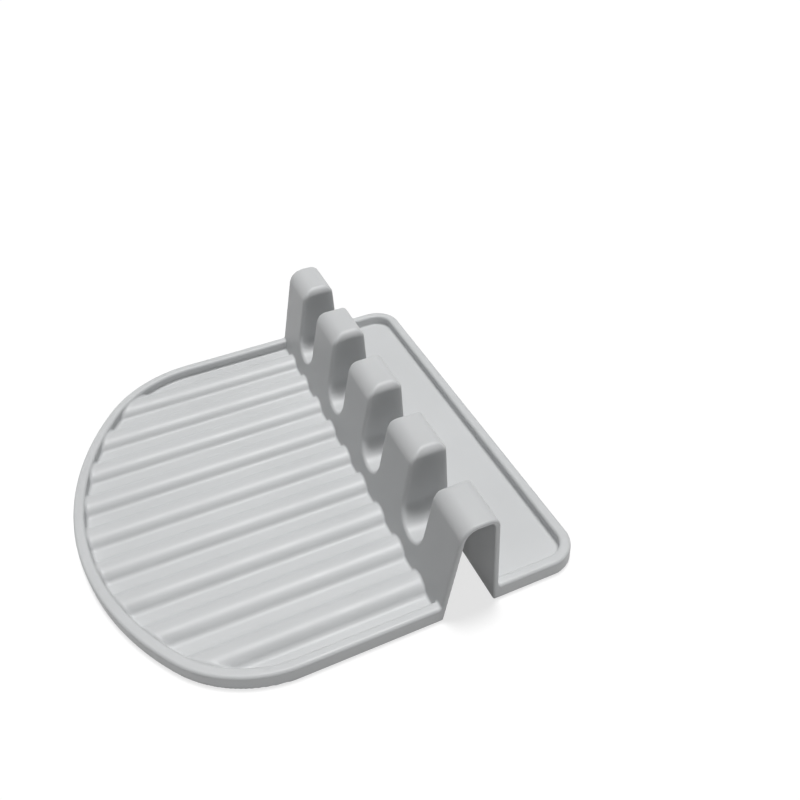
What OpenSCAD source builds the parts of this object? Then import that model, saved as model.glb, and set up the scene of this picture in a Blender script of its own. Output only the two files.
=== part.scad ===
// Spoon rest: one soft moulding with a ribbed drip tray, a hollow row of posts
// that carries the utensils in its slots, and a shallow tray behind it.
// X runs along the row of posts, the drip tray is towards -Y, and the rest
// stands on Z = 0 with its middle at X = 0, Y = 0.

/* [Overall] */
// Width along the row of posts
rest_w = 180; // [150:1:240]
// Height of the posts
rest_h = 41.5; // [34:0.5:56]

/* [Drip tray] */
// Depth from the back of the posts to where the round front starts
side_d = 71; // [50:0.5:110]
// Depth of the round front
front_d = 62; // [57:0.5:74]
// Radius of the round front at its two sides
front_side_r = 48; // [30:0.5:50]

/* [Handle tray] */
// Depth of the tray behind the posts
handle_d = 34.5; // [22:0.5:60]
// Radius of its two rear corners
handle_corner_r = 12; // [7:0.5:18]

/* [Rims and floors] */
// Height of the rims
rim_h = 6.4; // [5.5:0.1:7.5]
// Width of the rims
rim_w = 4.2; // [3:0.1:6]
// Radius of the rims' top edges
rim_edge_r = 1.2; // [0.5:0.1:1.4]
// Thickness of the floors
floor_t = 2; // [1.4:0.1:2.4]

/* [Ribs] */
// Distance from rib to rib
rib_pitch = 18.3; // [14:0.1:19]
// Width of a rib at its foot
rib_w = 11.6; // [7:0.1:13]
// Height of a rib above the floor
rib_h = 3.1; // [1.5:0.1:3.4]

/* [Posts and slots] */
// Width of the two end posts at their tops
end_post_w = 21.5; // [18:0.1:26]
// Width of a slot at its top
slot_w = 17.5; // [14:0.1:21]
// Depth of the posts at their foot
post_d = 23.3; // [20:0.1:30]
// Lean of the posts' front wall, in degrees
front_lean = 13.4; // [8:0.1:15]
// Radius along the front of the posts' tops
crest_front_r = 7; // [4:0.1:8]
// Radius along the back of the posts' tops
crest_back_r = 4; // [3:0.1:5]
// Radius of the posts' tops at the slots
post_edge_r = 3.5; // [2.8:0.1:5]
// Height of the lowest point of the slots
slot_floor_h = 11.7; // [8:0.1:14]
// Lean of the slots' sides, in degrees
slot_draft = 1; // [0.5:0.1:4]
// Wall of the hollow posts
wall_t = 2; // [1.6:0.1:2.5]

/* [Hidden] */
$fn = 96;

slot_count = 4;
post_count = slot_count + 1;
rib_count = 9;
// How far a cut runs past the solid it cuts
overrun = 1;
// How far a straight wall's ends lie inside the rounds it joins, so that they cross cleanly
seam = 0.001;
// Share of a slot's bottom radius that belongs to the saddle, on each side
saddle_share = 0.7;

silicone = [0.79, 0.8, 0.81];

half_w = rest_w / 2;
depth = handle_d + side_d + front_d;
// Places along Y: the posts' back face, the start of the round front, the rear edge
back_y = depth / 2 - handle_d;
arc_y = back_y - side_d;
rear_y = depth / 2;
foot_y = back_y - post_d;

// The round front is a large arc between two smaller ones that it touches
side_arc_x = half_w - front_side_r;
front_rise = front_d - front_side_r;
front_arc_back = (side_arc_x * side_arc_x - front_rise * front_rise) / (2 * front_rise);
front_r = front_d + front_arc_back;
front_arc_y = arc_y + front_arc_back;
front_arc_a = atan2(side_arc_x, front_arc_back);

rib_r = (rib_w * rib_w / 4 + rib_h * rib_h) / (2 * rib_h);

slot_pitch = (rest_w - 2 * end_post_w - slot_w) / (slot_count - 1);
slot_half_w = slot_w / 2;
slot_fall = rest_h - slot_floor_h;
slot_r = (slot_half_w - slot_fall * tan(slot_draft)) * cos(slot_draft) / (1 - sin(slot_draft));
slot_centre_h = slot_floor_h + slot_r;
saddle_half_w = slot_r * saddle_share;
// Where the round of a post's top edge is centred, from the slot's middle and from the base
edge_centre_x = slot_half_w - post_edge_r * tan(slot_draft) + post_edge_r / cos(slot_draft);
edge_centre_h = rest_h - post_edge_r;

// The rounds along the crest, from the posts' back face and from the base
crest_front_h = rest_h - crest_front_r;
crest_front_y = crest_front_h * tan(front_lean) + crest_front_r / cos(front_lean) - post_d;
crest_back_h = rest_h - crest_back_r;

function slot_x(i) = (i - post_count / 2) * slot_pitch;
function rib_x(i) = (i - (rib_count + 1) / 2) * rib_pitch;

// A rim's section: X runs inwards from the rim's outer face
module rim_section() {
    square([rim_w, rim_h - rim_edge_r]);
    translate([rim_edge_r, 0])
        square([rim_w - 2 * rim_edge_r, rim_h]);
    for (x = [rim_edge_r, rim_w - rim_edge_r])
        translate([x, rim_h - rim_edge_r])
            circle(r = rim_edge_r);
}

// A rim all round a circle of outer radius r
module rim_ring(r) {
    rotate_extrude()
        translate([r, 0])
            mirror([1, 0])
                rim_section();
}

// The stretch of a ring that lies between two directions from its middle
module rim_arc(r, middle, outline) {
    intersection() {
        translate(middle)
            rim_ring(r);
        linear_extrude(height = rim_h)
            polygon(outline);
    }
}

// A straight rim along the right-hand side, from one Y to another
module rim_side(from_y, to_y) {
    translate([half_w, to_y, 0])
        rotate([90, 0, 0])
            linear_extrude(height = to_y - from_y)
                mirror([1, 0])
                    rim_section();
}

// Everything in front of the posts' leaning front wall
module ahead_of_posts() {
    reach = rim_h + overrun;
    rotate([90, 0, 90])
        linear_extrude(height = rest_w, center = true)
            polygon([
                [-depth, -overrun],
                [foot_y - overrun * tan(front_lean), -overrun],
                [foot_y + reach * tan(front_lean), reach],
                [-depth, reach]
            ]);
}

// Outline of the drip tray, drawn in by inset
module drip_outline(inset) {
    translate([-half_w + inset, arc_y])
        square([rest_w - 2 * inset, side_d]);
    for (side = [-1, 1])
        translate([side * side_arc_x, arc_y])
            circle(r = front_side_r - inset);
    intersection() {
        translate([0, front_arc_y])
            circle(r = front_r - inset);
        polygon([
            [0, front_arc_y],
            [-front_r * tan(front_arc_a), front_arc_y - front_r],
            [front_r * tan(front_arc_a), front_arc_y - front_r]
        ]);
    }
}

// Outline of the handle tray, drawn in by inset
module handle_outline(inset) {
    r = handle_corner_r - inset;
    w = half_w - inset;
    translate([-w, back_y])
        square([2 * w, handle_d - handle_corner_r]);
    translate([-w + r, back_y])
        square([2 * (w - r), handle_d - inset]);
    for (side = [-1, 1])
        translate([side * (w - r), rear_y - handle_corner_r])
            circle(r = r);
}

module drip_floor() {
    color(silicone)
        intersection() {
            linear_extrude(height = floor_t)
                drip_outline(rim_w);
            ahead_of_posts();
        }
}

// A rib along the drip tray's floor, from the rim in front to the posts
module rib(i) {
    color(silicone)
        intersection() {
            translate([0, 0, floor_t])
                linear_extrude(height = rib_h + overrun)
                    drip_outline(rim_w);
            ahead_of_posts();
            translate([rib_x(i), depth / 2, floor_t + rib_h - rib_r])
                rotate([90, 0, 0])
                    cylinder(r = rib_r, h = depth);
        }
}

module drip_rim() {
    side_middle = [side_arc_x, arc_y];
    front_middle = [0, front_arc_y];
    // The two arcs meet on the line through their middles
    join = side_middle + [side_arc_x, -front_arc_back];
    side_outline = [side_middle, join, [rest_w, join.y], [rest_w, arc_y]];
    front_outline = [front_middle, [-join.x, join.y], [-join.x, -depth], [join.x, -depth], join];
    color(silicone)
        intersection() {
            ahead_of_posts();
            union() {
                for (side = [0, 1])
                    mirror([side, 0, 0]) {
                        rim_side(arc_y, back_y);
                        rim_arc(front_side_r, side_middle, side_outline);
                    }
                rim_arc(front_r, front_middle, front_outline);
            }
        }
}

module handle_floor() {
    color(silicone)
        linear_extrude(height = floor_t)
            handle_outline(rim_w);
}

module handle_rim() {
    corner_y = rear_y - handle_corner_r;
    corner_x = half_w - handle_corner_r;
    color(silicone)
        union() {
            for (side = [0, 1])
                mirror([side, 0, 0]) {
                    rim_side(back_y, corner_y);
                    rim_arc(handle_corner_r, [corner_x, corner_y], [
                        [corner_x, corner_y], [half_w, corner_y], [half_w, rear_y], [corner_x, rear_y]
                    ]);
                }
            translate([-corner_x, rear_y, 0])
                rotate([90, 0, 90])
                    linear_extrude(height = 2 * corner_x)
                        mirror([1, 0])
                            rim_section();
        }
}

// Section through a post, seen along X, drawn in by inset and lengthened below the base.
// Its origin is the foot of the posts' back face.
module crest_section(inset, below) {
    lean_x = cos(front_lean);
    lean_h = sin(front_lean);
    front_r = crest_front_r - inset;
    back_r = crest_back_r - inset;
    join_r = front_r - seam;
    polygon([
        [-inset, -below],
        [-inset, crest_back_h],
        [-crest_back_r, rest_h - inset],
        [crest_front_y, rest_h - inset],
        [crest_front_y - join_r * lean_x, crest_front_h + join_r * lean_h],
        [inset / lean_x - post_d - below * tan(front_lean), -below]
    ]);
    translate([crest_front_y, crest_front_h])
        circle(r = front_r);
    translate([-crest_back_r, crest_back_h])
        circle(r = back_r);
}

// A slot seen along Y, widened by grow, with its origin below its middle
module slot_outline(grow) {
    wall_x = cos(slot_draft);
    wall_h = sin(slot_draft);
    low_r = slot_r + grow;
    edge_r = post_edge_r - grow;
    low_x = (low_r - seam) * wall_x;
    low_h = slot_centre_h - (low_r - seam) * wall_h;
    high_x = edge_centre_x - (edge_r - seam) * wall_x;
    high_h = edge_centre_h + (edge_r - seam) * wall_h;
    top = rest_h + overrun;
    translate([0, slot_centre_h])
        circle(r = low_r);
    difference() {
        polygon([
            [-low_x, low_h],
            [-high_x, high_h],
            [-edge_centre_x, rest_h - grow],
            [-edge_centre_x, top],
            [edge_centre_x, top],
            [edge_centre_x, rest_h - grow],
            [high_x, high_h],
            [low_x, low_h]
        ]);
        for (side = [-1, 1])
            translate([side * edge_centre_x, edge_centre_h])
                circle(r = edge_r);
    }
}

// The row of posts as a solid, drawn in by inset on every side but its two ends
module post_row(inset, past) {
    difference() {
        translate([0, back_y, 0])
            rotate([90, 0, 90])
                linear_extrude(height = rest_w + 2 * past, center = true)
                    crest_section(inset, past);
        translate([0, back_y + overrun, 0])
            rotate([90, 0, 0])
                linear_extrude(height = post_d + 2 * overrun)
                    for (i = [1 : slot_count])
                        translate([slot_x(i), 0])
                            slot_outline(inset);
    }
}

// The hollow row of posts between two places along X
module post_shell(from_x, to_x) {
    color(silicone)
        intersection() {
            difference() {
                post_row(0, 0);
                post_row(wall_t, overrun);
            }
            translate([from_x, foot_y - overrun, -overrun])
                cube([to_x - from_x, post_d + 2 * overrun, rest_h + 2 * overrun]);
        }
}

module post(i) {
    from_x = i == 1 ? -half_w : slot_x(i - 1) + saddle_half_w;
    to_x = i == post_count ? half_w : slot_x(i) - saddle_half_w;
    post_shell(from_x, to_x);
}

module saddle(i) {
    post_shell(slot_x(i) - saddle_half_w, slot_x(i) + saddle_half_w);
}

drip_floor();
drip_rim();
handle_floor();
handle_rim();
rib(1);  // rib_1
rib(2);  // rib_2
rib(3);  // rib_3
rib(4);  // rib_4
rib(5);  // rib_5
rib(6);  // rib_6
rib(7);  // rib_7
rib(8);  // rib_8
rib(9);  // rib_9
post(1);  // post_1
post(2);  // post_2
post(3);  // post_3
post(4);  // post_4
post(5);  // post_5
saddle(1);  // saddle_1
saddle(2);  // saddle_2
saddle(3);  // saddle_3
saddle(4);  // saddle_4
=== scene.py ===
import math

import bpy
import numpy as np
from mathutils import Matrix, Vector

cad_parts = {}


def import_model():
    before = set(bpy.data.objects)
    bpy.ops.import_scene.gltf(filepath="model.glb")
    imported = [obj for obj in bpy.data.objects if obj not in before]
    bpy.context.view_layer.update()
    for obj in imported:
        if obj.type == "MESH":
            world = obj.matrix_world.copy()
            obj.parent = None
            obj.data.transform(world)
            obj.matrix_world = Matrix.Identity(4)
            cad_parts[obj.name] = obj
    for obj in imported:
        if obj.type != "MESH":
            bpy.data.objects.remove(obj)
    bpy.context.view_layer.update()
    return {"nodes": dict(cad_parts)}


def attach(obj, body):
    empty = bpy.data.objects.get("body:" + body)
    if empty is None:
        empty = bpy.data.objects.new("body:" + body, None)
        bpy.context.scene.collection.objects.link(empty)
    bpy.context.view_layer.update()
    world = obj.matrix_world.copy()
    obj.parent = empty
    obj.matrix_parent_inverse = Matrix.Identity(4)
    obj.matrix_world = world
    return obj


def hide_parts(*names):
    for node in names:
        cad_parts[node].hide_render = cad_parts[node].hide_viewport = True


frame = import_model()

# Sizes in metres, as in the part's source
REST_W = 0.18
REST_H = 0.0415
SIDE_D = 0.071
FRONT_D = 0.062
SIDE_ARC_R = 0.048
HANDLE_D = 0.0345
HANDLE_CORNER_R = 0.012
RIM_H = 0.0064
RIM_W = 0.0042
RIM_EDGE_R = 0.0012
FLOOR_T = 0.002
RIB_PITCH = 0.0183
RIB_W = 0.0116
RIB_H = 0.0031
RIB_LAST = 4  # ribs on each side of the middle one
END_POST_W = 0.0215
SLOT_W = 0.0175
SLOT_COUNT = 4
SLOT_FLOOR_H = 0.0117
SLOT_DRAFT = math.radians(1)
POST_D = 0.0233
POST_EDGE_R = 0.0035
FRONT_LEAN = math.radians(13.4)
CREST_FRONT_R = 0.007
CREST_BACK_R = 0.004
WALL_T = 0.002

# The moulding's soft edges, which only the skin has
POST_SIDE_R = 0.0015  # along the posts' upright edges
HOLLOW_EDGE_R = 0.001  # inside the posts
END_EDGE_R = 0.0009  # round the two open ends
BASE_EDGE_R = 0.0004  # where the part stands
FOOT_R = 0.0009  # inside corner at the foot of the posts
RIM_FOOT_R = 0.0013  # inside corner at the foot of the rims
RIB_FOOT_R = 0.003  # inside corner at the foot of the ribs

# Places that follow from the sizes
HALF_W = REST_W / 2
REAR_Y = (HANDLE_D + SIDE_D + FRONT_D) / 2
BACK_Y = REAR_Y - HANDLE_D  # the posts' back face
ARC_Y = BACK_Y - SIDE_D  # where the round front starts
SIDE_ARC_X = HALF_W - SIDE_ARC_R
FRONT_RISE = FRONT_D - SIDE_ARC_R
FRONT_ARC_BACK = (SIDE_ARC_X ** 2 - FRONT_RISE ** 2) / (2 * FRONT_RISE)
FRONT_ARC_Y = ARC_Y + FRONT_ARC_BACK
FRONT_ARC_R = FRONT_D + FRONT_ARC_BACK
RIB_R = (RIB_W ** 2 / 4 + RIB_H ** 2) / (2 * RIB_H)
SLOT_PITCH = (REST_W - 2 * END_POST_W - SLOT_W) / (SLOT_COUNT - 1)

# The skin's mesh
GRID = 0.00075
COARSE = 4  # fine cells in one coarse cell
MARGIN = 2  # coarse cells round the part
CHUNK = 400000  # points worked out at a time
LANDING_STEPS = 3  # steps that bring a point onto the surface
RELAX_ROUNDS = 3
PARALLEL = 1e-6
TINY = 1e-9

# The silicone
SILICONE_LIGHT = (0.585, 0.595, 0.601)
SILICONE_DARK = (0.555, 0.565, 0.571)
SILICONE_ROUGHNESS = (0.40, 0.48)
SILICONE_IOR = 1.41
CLOUD_SCALE, CLOUD_DETAIL = 22, 3  # waves per metre, and layers of finer ones
WEAR_SCALE, WEAR_DETAIL = 90, 4
GRAIN_SCALE, GRAIN_DETAIL = 2600, 2
GRAIN_STRENGTH = 0.5
GRAIN_DEPTH = 0.00004
NOISE_LOW, NOISE_HIGH = 0.3, 0.7  # nearly all of a noise lies between these

# The floor, the world and the lamps
WHITE = (1, 1, 1, 1)
FLOOR_W = 12.0
FLOOR_COLOUR = 0.5
FLOOR_SEEN_COLOUR = 0.3
FLOOR_GLOW = 0.73
WORLD_STRENGTH = 0.08
KEY_DIRECTION = (-0.15, 0.1, 0.98)
KEY_ANGLE = 0.25  # radians across
KEY_STRENGTH = 2.8
FILL_DIRECTION = (1, 0.02, 0.03)
FILL_ANGLE = 0.4
FILL_STRENGTH = 0.88

# The camera, where a fit to the photograph's edges puts it
CAM_AZIMUTH = math.radians(68.874)
CAM_ELEVATION = math.radians(39.486)
CAM_ROLL = math.radians(-3.895)
CAM_DISTANCE = 0.33892
CAM_TARGET = Vector((-0.00502, 0.05413, 0.018))
CAM_NEAR, CAM_FAR = 0.01, 20
PHOTO_SIZE = 800  # pixels
FOCAL_PX = 802.3
SENSOR = 36.0  # millimetres


# A field gives each point's signed distance to a shape, negative inside, and the direction away from it
def half_space(points, normal, offset):
    normal = np.array(normal, float)
    return points @ normal - offset, np.broadcast_to(normal, points.shape)


def cylinder(centre_off, radius, axes, shape):
    """A round bar: centre_off is the offset from its middle line along two of the axes."""
    length = np.maximum(np.hypot(*centre_off), TINY)
    direction = np.zeros(shape)
    for axis, off in zip(axes, centre_off):
        direction[:, axis] = off / length
    return length - radius, direction


def grown(field, amount):
    """The same shape grown by an amount, or shrunk by a negative one."""
    return field[0] - amount, field[1]


def opposite(field):
    """What the shape leaves free."""
    return -field[0], -field[1]


def pick(choice, a, b):
    """Field a where choice is true, and b elsewhere."""
    return np.where(choice, a[0], b[0]), np.where(choice[:, None], a[1], b[1])


def meet(a, b, radius=0.0):
    """Where both shapes are, with the edge between them rounded as a rolling ball leaves it."""
    distance, direction = pick(a[0] >= b[0], a, b)
    if radius:
        cosine = (a[1] * b[1]).sum(1)
        over_a, over_b = a[0] + radius, b[0] + radius
        share = 1 - cosine * cosine
        along_a, along_b = over_a - cosine * over_b, over_b - cosine * over_a
        edge = np.flatnonzero((along_a > 0) & (along_b > 0) & (share > PARALLEL))
        away = along_a[edge, None] * a[1][edge] + along_b[edge, None] * b[1][edge]
        away /= share[edge, None]
        length = np.maximum(np.linalg.norm(away, axis=1), TINY)
        distance[edge] = length - radius
        direction[edge] = away / length[:, None]
    return distance, direction


def join(a, b, radius=0.0):
    """Both shapes together, with the inside corner between them filled to a radius."""
    return opposite(meet(opposite(a), opposite(b), radius))


def between_ends(points):
    direction = np.zeros(points.shape)
    direction[:, 0] = np.where(points[:, 0] < 0, -1.0, 1.0)
    return np.abs(points[:, 0]) - HALF_W, direction


def drip_outline(points):
    """The drip tray seen from above: straight sides, and a front of two tight arcs and a wide one."""
    x, y = points[:, 0], points[:, 1]
    sign = np.where(x < 0, -1.0, 1.0)
    side_arc = cylinder((x - sign * SIDE_ARC_X, y - ARC_Y), SIDE_ARC_R, (0, 1), points.shape)
    front_arc = cylinder((x, y - FRONT_ARC_Y), FRONT_ARC_R, (0, 1), points.shape)
    # The two arcs meet on the line through their middles
    beside = SIDE_ARC_X * (y - FRONT_ARC_Y) + (FRONT_ARC_Y - ARC_Y) * np.abs(x) > 0
    return pick(y > ARC_Y, between_ends(points), pick(beside, side_arc, front_arc))


def handle_outline(points):
    return meet(between_ends(points), half_space(points, (0, 1, 0), REAR_Y), HANDLE_CORNER_R)


def plain_floor(points):
    return half_space(points, (0, 0, 1), FLOOR_T)


def ribbed_floor(points):
    x, z = points[:, 0], points[:, 2]
    middle = np.clip(np.round(x / RIB_PITCH), -RIB_LAST, RIB_LAST) * RIB_PITCH
    rib = cylinder((x - middle, z - (FLOOR_T + RIB_H - RIB_R)), RIB_R, (0, 2), points.shape)
    return join(plain_floor(points), rib, RIB_FOOT_R)


def tray(points, outline, floor_field):
    """A floor with a rim along its outline."""
    wall = opposite(grown(outline, -RIM_W))
    rim = meet(wall, half_space(points, (0, 0, 1), RIM_H), RIM_EDGE_R)
    return meet(join(rim, floor_field, RIM_FOOT_R), outline, RIM_EDGE_R)


def post_section(points):
    """The posts seen from the end of the row."""
    back = half_space(points, (0, 1, 0), BACK_Y)
    top = half_space(points, (0, 0, 1), REST_H)
    normal = (0, -math.cos(FRONT_LEAN), math.sin(FRONT_LEAN))
    front = half_space(points, normal, -(BACK_Y - POST_D) * math.cos(FRONT_LEAN))
    return meet(meet(back, top, CREST_BACK_R), front, CREST_FRONT_R)


def post_profile(points):
    """The row seen from the front: posts with a round-bottomed slot between each two."""
    x, z = points[:, 0], points[:, 2]
    last = SLOT_COUNT // 2
    slot = np.clip(np.floor(x / SLOT_PITCH), -last, last - 1) + 0.5
    wall_x, wall_z = math.cos(SLOT_DRAFT), math.sin(SLOT_DRAFT)
    foot_w = SLOT_W / 2 - (REST_H - SLOT_FLOOR_H) * math.tan(SLOT_DRAFT)
    slot_r = foot_w * wall_x / (1 - wall_z)
    across, up = x - slot * SLOT_PITCH, z - SLOT_FLOOR_H - slot_r
    direction = np.zeros(points.shape)
    direction[:, 0] = np.where(across < 0, wall_x, -wall_x)
    direction[:, 2] = wall_z
    wall = (slot_r - np.abs(across) * wall_x + up * wall_z, direction)
    bottom = opposite(cylinder((across, up), slot_r, (0, 2), points.shape))
    low = np.abs(across) * wall_z + up * wall_x < 0
    return meet(pick(low, bottom, wall), half_space(points, (0, 0, 1), REST_H), POST_EDGE_R)


def moulding(points):
    """The whole spoon rest."""
    section, profile = post_section(points), post_profile(points)
    row = meet(section, profile, POST_SIDE_R)
    hollow = meet(grown(section, -WALL_T), grown(profile, -WALL_T), HOLLOW_EDGE_R)
    middle_y = BACK_Y - POST_D / 2
    drip = tray(points, drip_outline(points), ribbed_floor(points))
    drip = meet(drip, half_space(points, (0, 1, 0), middle_y))
    handle = tray(points, handle_outline(points), plain_floor(points))
    handle = meet(handle, half_space(points, (0, -1, 0), -middle_y))
    solid = join(join(drip, handle), row, FOOT_R)
    solid = meet(solid, opposite(hollow))
    solid = meet(solid, between_ends(points), END_EDGE_R)
    return meet(solid, half_space(points, (0, 0, -1), 0), BASE_EDGE_R)


# The skin is the surface where the moulding's field is zero, as a mesh of even quads
def field_at(points):
    parts = [moulding(points[i:i + CHUNK]) for i in range(0, len(points), CHUNK)]
    return np.concatenate([p[0] for p in parts]), np.concatenate([p[1] for p in parts])


def on_surface(points, steps=LANDING_STEPS):
    for _ in range(steps):
        distance, direction = field_at(points)
        points = points - distance[:, None] * direction
    return points


def sampled():
    """Signed distances on a grid, worked out finely only near the surface, and the first one's place."""
    low, high = Vector((-HALF_W, -REAR_Y, 0)), Vector((HALF_W, REAR_Y, REST_H))
    step = GRID * COARSE
    count = [math.ceil((h - l) / step / 2) * 2 + 2 * MARGIN for l, h in zip(low, high)]
    origin = np.array([(l + h) / 2 - n * step / 2 for l, h, n in zip(low, high, count)])
    cells = np.indices(count).reshape(3, -1).T
    rough = field_at(origin + (cells + 0.5) * step)[0]
    values = rough.reshape(count)
    for axis in range(3):
        values = np.repeat(values, COARSE, axis=axis)
    near = cells[np.abs(rough) < step]
    inner = np.indices([COARSE] * 3).reshape(3, -1).T
    fine = (near[:, None, :] * COARSE + inner[None]).reshape(-1, 3)
    values[tuple(fine.T)] = field_at(origin + (fine + 0.5) * GRID)[0]
    return values, origin + GRID / 2


def crossing_mean(values, cells, corners):
    """The mean of the places where each cell's edges cross the surface, in cells."""
    total, hits = np.zeros(cells.shape), np.zeros(len(cells))
    for axis, step in enumerate(np.eye(3, dtype=int)):
        for start in np.array([c for c in corners if not c[axis]]):
            v0 = values[tuple((cells + start).T)]
            v1 = values[tuple((cells + start + step).T)]
            cross = (v0 < 0) != (v1 < 0)
            t = np.where(cross, v0 / np.where(cross, v0 - v1, 1), 0)
            total[cross] += (start + t[:, None] * step)[cross]
            hits += cross
    return total / hits[:, None]


def surface_mesh():
    """A vertex in each cell that the surface crosses, and a quad round each grid edge that it crosses."""
    values, origin = sampled()
    solid = values < 0
    corners = [(i, j, k) for i in (0, 1) for j in (0, 1) for k in (0, 1)]
    shape = [n - 1 for n in values.shape]

    def corner(c):
        return solid[tuple(slice(c[a], c[a] + shape[a]) for a in range(3))]

    inside = sum(corner(c).astype(np.int8) for c in corners)
    crossed = (inside > 0) & (inside < len(corners))
    number = np.full(shape, -1)
    number[crossed] = np.arange(crossed.sum())
    cells = np.argwhere(crossed)
    points = origin + (cells + crossing_mean(values, cells, corners)) * GRID
    quads = []
    for a in range(3):
        b, c = (a + 1) % 3, (a + 2) % 3
        first = tuple(slice(0, -1) if i == a else slice(1, -1) for i in range(3))
        second = tuple(slice(1, None) if i == a else slice(1, -1) for i in range(3))
        leaving = solid[first] & ~solid[second]
        entering = ~solid[first] & solid[second]
        for mask, order in ((leaving, (0, 1, 2, 3)), (entering, (3, 2, 1, 0))):
            edge = np.argwhere(mask)
            edge[:, (b, c)] += 1
            ring = []
            for db, dc in ((-1, -1), (0, -1), (0, 0), (-1, 0)):
                cell = edge.copy()
                cell[:, b] += db
                cell[:, c] += dc
                ring.append(number[tuple(cell.T)])
            quads.append(np.stack([ring[i] for i in order], 1))
    return on_surface(points), np.concatenate(quads)


def relaxed(points, quads):
    """Evens out the quads, and keeps each vertex on the surface."""
    for _ in range(RELAX_ROUNDS):
        total, hits = np.zeros(points.shape), np.zeros(len(points))
        for i in range(4):
            for j in (i - 1, (i + 1) % 4):
                for axis in range(3):
                    total[:, axis] += np.bincount(quads[:, i], points[quads[:, j], axis], len(points))
                hits += np.bincount(quads[:, i], minlength=len(points))
        points = on_surface((points + total / hits[:, None]) / 2, 1)
    return on_surface(points)


def new_object(name, data):
    obj = bpy.data.objects.new(name, data)
    bpy.context.scene.collection.objects.link(obj)
    return obj


def make_mesh(name, points, faces):
    mesh = bpy.data.meshes.new(name)
    mesh.vertices.add(len(points))
    mesh.vertices.foreach_set("co", points.astype(np.float32).ravel())
    size = faces.shape[1]
    mesh.loops.add(faces.size)
    mesh.loops.foreach_set("vertex_index", faces.astype(np.int32).ravel())
    mesh.polygons.add(len(faces))
    mesh.polygons.foreach_set("loop_start", np.arange(0, faces.size, size, dtype=np.int32))
    mesh.update(calc_edges=True)
    mesh.validate()
    return mesh


def skin():
    """The whole moulding's surface, shaded by the field's own directions."""
    points, quads = surface_mesh()
    points = relaxed(points, quads)
    mesh = make_mesh("silicone_moulding", points, quads)
    mesh.polygons.foreach_set("use_smooth", np.ones(len(mesh.polygons), bool))
    mesh.update()
    mesh.normals_split_custom_set_from_vertices(field_at(points)[1].tolist())
    return new_object("silicone_moulding", mesh)


def noise(nodes, links, place, scale, detail):
    texture = nodes.new("ShaderNodeTexNoise")
    texture.inputs["Scale"].default_value = scale
    texture.inputs["Detail"].default_value = detail
    links.new(place, texture.inputs["Vector"])
    return texture.outputs["Fac"]


def spread(nodes, links, value, low, high):
    """Turns a noise into values from low to high."""
    node = nodes.new("ShaderNodeMapRange")
    node.inputs["From Min"].default_value = NOISE_LOW
    node.inputs["From Max"].default_value = NOISE_HIGH
    node.inputs["To Min"].default_value = low
    node.inputs["To Max"].default_value = high
    links.new(value, node.inputs["Value"])
    return node.outputs["Result"]


def silicone():
    """Satin silicone: a fine matt grain from the mould, with slightly worn and cloudy places."""
    material = bpy.data.materials.new("silicone")
    material.use_nodes = True
    nodes, links = material.node_tree.nodes, material.node_tree.links
    shader = nodes["Principled BSDF"]
    shader.inputs["IOR"].default_value = SILICONE_IOR
    place = nodes.new("ShaderNodeTexCoord").outputs["Object"]
    cloud = noise(nodes, links, place, CLOUD_SCALE, CLOUD_DETAIL)
    colour = nodes.new("ShaderNodeMix")
    colour.data_type = "RGBA"
    colour.inputs["A"].default_value = (*SILICONE_DARK, 1)
    colour.inputs["B"].default_value = (*SILICONE_LIGHT, 1)
    links.new(spread(nodes, links, cloud, 0, 1), colour.inputs["Factor"])
    links.new(colour.outputs["Result"], shader.inputs["Base Color"])
    wear = noise(nodes, links, place, WEAR_SCALE, WEAR_DETAIL)
    links.new(spread(nodes, links, wear, *SILICONE_ROUGHNESS), shader.inputs["Roughness"])
    grain = noise(nodes, links, place, GRAIN_SCALE, GRAIN_DETAIL)
    bump = nodes.new("ShaderNodeBump")
    bump.inputs["Strength"].default_value = GRAIN_STRENGTH
    bump.inputs["Distance"].default_value = GRAIN_DEPTH
    links.new(grain, bump.inputs["Height"])
    links.new(bump.outputs["Normal"], shader.inputs["Normal"])
    return material


def shown(nodes, links):
    """1 where the camera sees a thing itself or mirrored, and 0 where it only lights others."""
    rays = nodes.new("ShaderNodeLightPath")
    seen = rays.outputs["Is Camera Ray"]
    for kind in ("Is Glossy Ray", "Is Transmission Ray"):
        either = nodes.new("ShaderNodeMath")
        either.operation = "MAXIMUM"
        links.new(seen, either.inputs[0])
        links.new(rays.outputs[kind], either.inputs[1])
        seen = either.outputs[0]
    return seen


def paper(nodes, colour, glow):
    shader = nodes.new("ShaderNodeBsdfPrincipled")
    shader.inputs["Base Color"].default_value = (colour, colour, colour, 1)
    shader.inputs["Roughness"].default_value = 1
    shader.inputs["Specular IOR Level"].default_value = 0
    shader.inputs["Emission Color"].default_value = WHITE
    shader.inputs["Emission Strength"].default_value = glow
    return shader.outputs["BSDF"]


def floor_paper():
    """Pale paper that shows as white, with the part's soft shadow on it."""
    material = bpy.data.materials.new("floor_paper")
    material.use_nodes = True
    nodes, links = material.node_tree.nodes, material.node_tree.links
    nodes.remove(nodes["Principled BSDF"])
    mix = nodes.new("ShaderNodeMixShader")
    links.new(shown(nodes, links), mix.inputs["Fac"])
    links.new(paper(nodes, FLOOR_COLOUR, 0), mix.inputs[1])
    links.new(paper(nodes, FLOOR_SEEN_COLOUR, FLOOR_GLOW), mix.inputs[2])
    links.new(mix.outputs[0], nodes["Material Output"].inputs["Surface"])
    return material


def floor():
    size = FLOOR_W / 2
    points = np.array([(-size, -size, 0), (size, -size, 0), (size, size, 0), (-size, size, 0)])
    obj = new_object("floor", make_mesh("floor", points, np.array([[0, 1, 2, 3]])))
    obj.data.materials.append(floor_paper())


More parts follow.
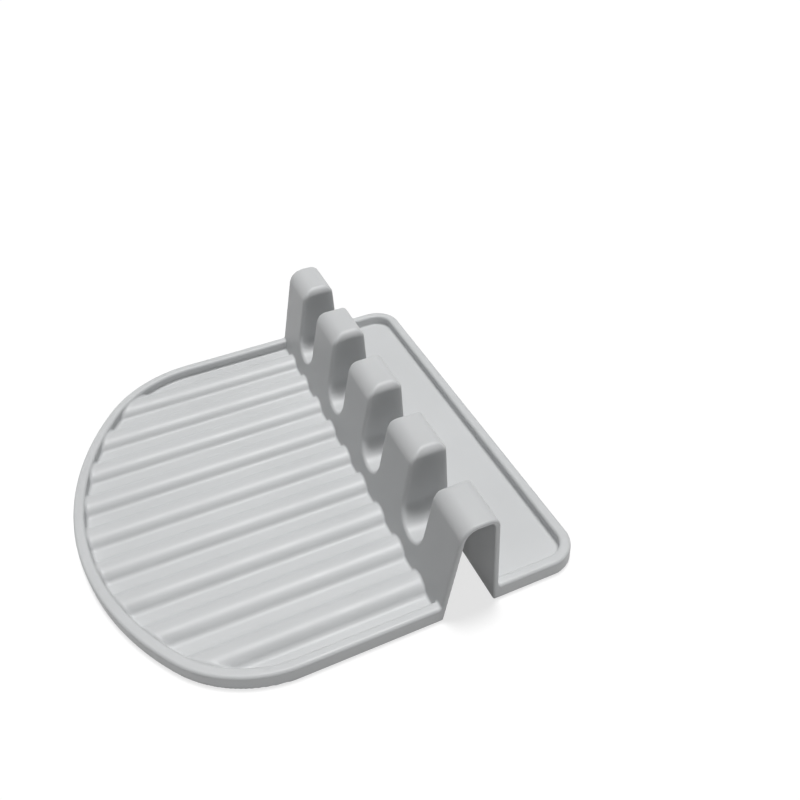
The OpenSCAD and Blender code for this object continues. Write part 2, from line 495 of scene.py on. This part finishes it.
def world():
    """Soft light from all round, before a background that shows as white."""
    scene_world = bpy.data.worlds.new("world")
    scene_world.use_nodes = True
    nodes, links = scene_world.node_tree.nodes, scene_world.node_tree.links
    strength = nodes.new("ShaderNodeMapRange")
    strength.inputs["To Min"].default_value = WORLD_STRENGTH
    links.new(shown(nodes, links), strength.inputs["Value"])
    links.new(strength.outputs["Result"], nodes["Background"].inputs["Strength"])
    nodes["Background"].inputs["Color"].default_value = WHITE
    bpy.context.scene.world = scene_world


def lamp(name, direction, angle, strength):
    """A distant soft lamp that shines from a direction."""
    data = bpy.data.lights.new(name, "SUN")
    data.energy = strength
    data.angle = angle
    obj = new_object(name, data)
    obj.location = direction
    obj.rotation_mode = "QUATERNION"
    obj.rotation_quaternion = Vector(direction).to_track_quat("Z", "Y")


def camera():
    data = bpy.data.cameras.new("camera")
    data.sensor_width = SENSOR
    data.lens = SENSOR * FOCAL_PX / PHOTO_SIZE
    data.clip_start, data.clip_end = CAM_NEAR, CAM_FAR
    back = Vector((
        math.sin(CAM_AZIMUTH) * math.cos(CAM_ELEVATION),
        -math.cos(CAM_AZIMUTH) * math.cos(CAM_ELEVATION),
        math.sin(CAM_ELEVATION),
    ))
    right = Vector((0, 0, 1)).cross(back).normalized()
    up = back.cross(right)
    turned_right = right * math.cos(CAM_ROLL) + up * math.sin(CAM_ROLL)
    turned_up = up * math.cos(CAM_ROLL) - right * math.sin(CAM_ROLL)
    basis = Matrix((turned_right, turned_up, back)).transposed().to_4x4()
    obj = new_object("camera", data)
    obj.matrix_world = Matrix.Translation(CAM_TARGET + back * CAM_DISTANCE) @ basis
    bpy.context.scene.camera = obj


camera()
piece = skin()
piece.data.materials.append(silicone())
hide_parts(*sorted(frame["nodes"]))
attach(piece, "root")
floor()
world()
lamp("key", KEY_DIRECTION, KEY_ANGLE, KEY_STRENGTH)
lamp("fill", FILL_DIRECTION, FILL_ANGLE, FILL_STRENGTH)
bpy.context.scene.view_settings.view_transform = "Standard"
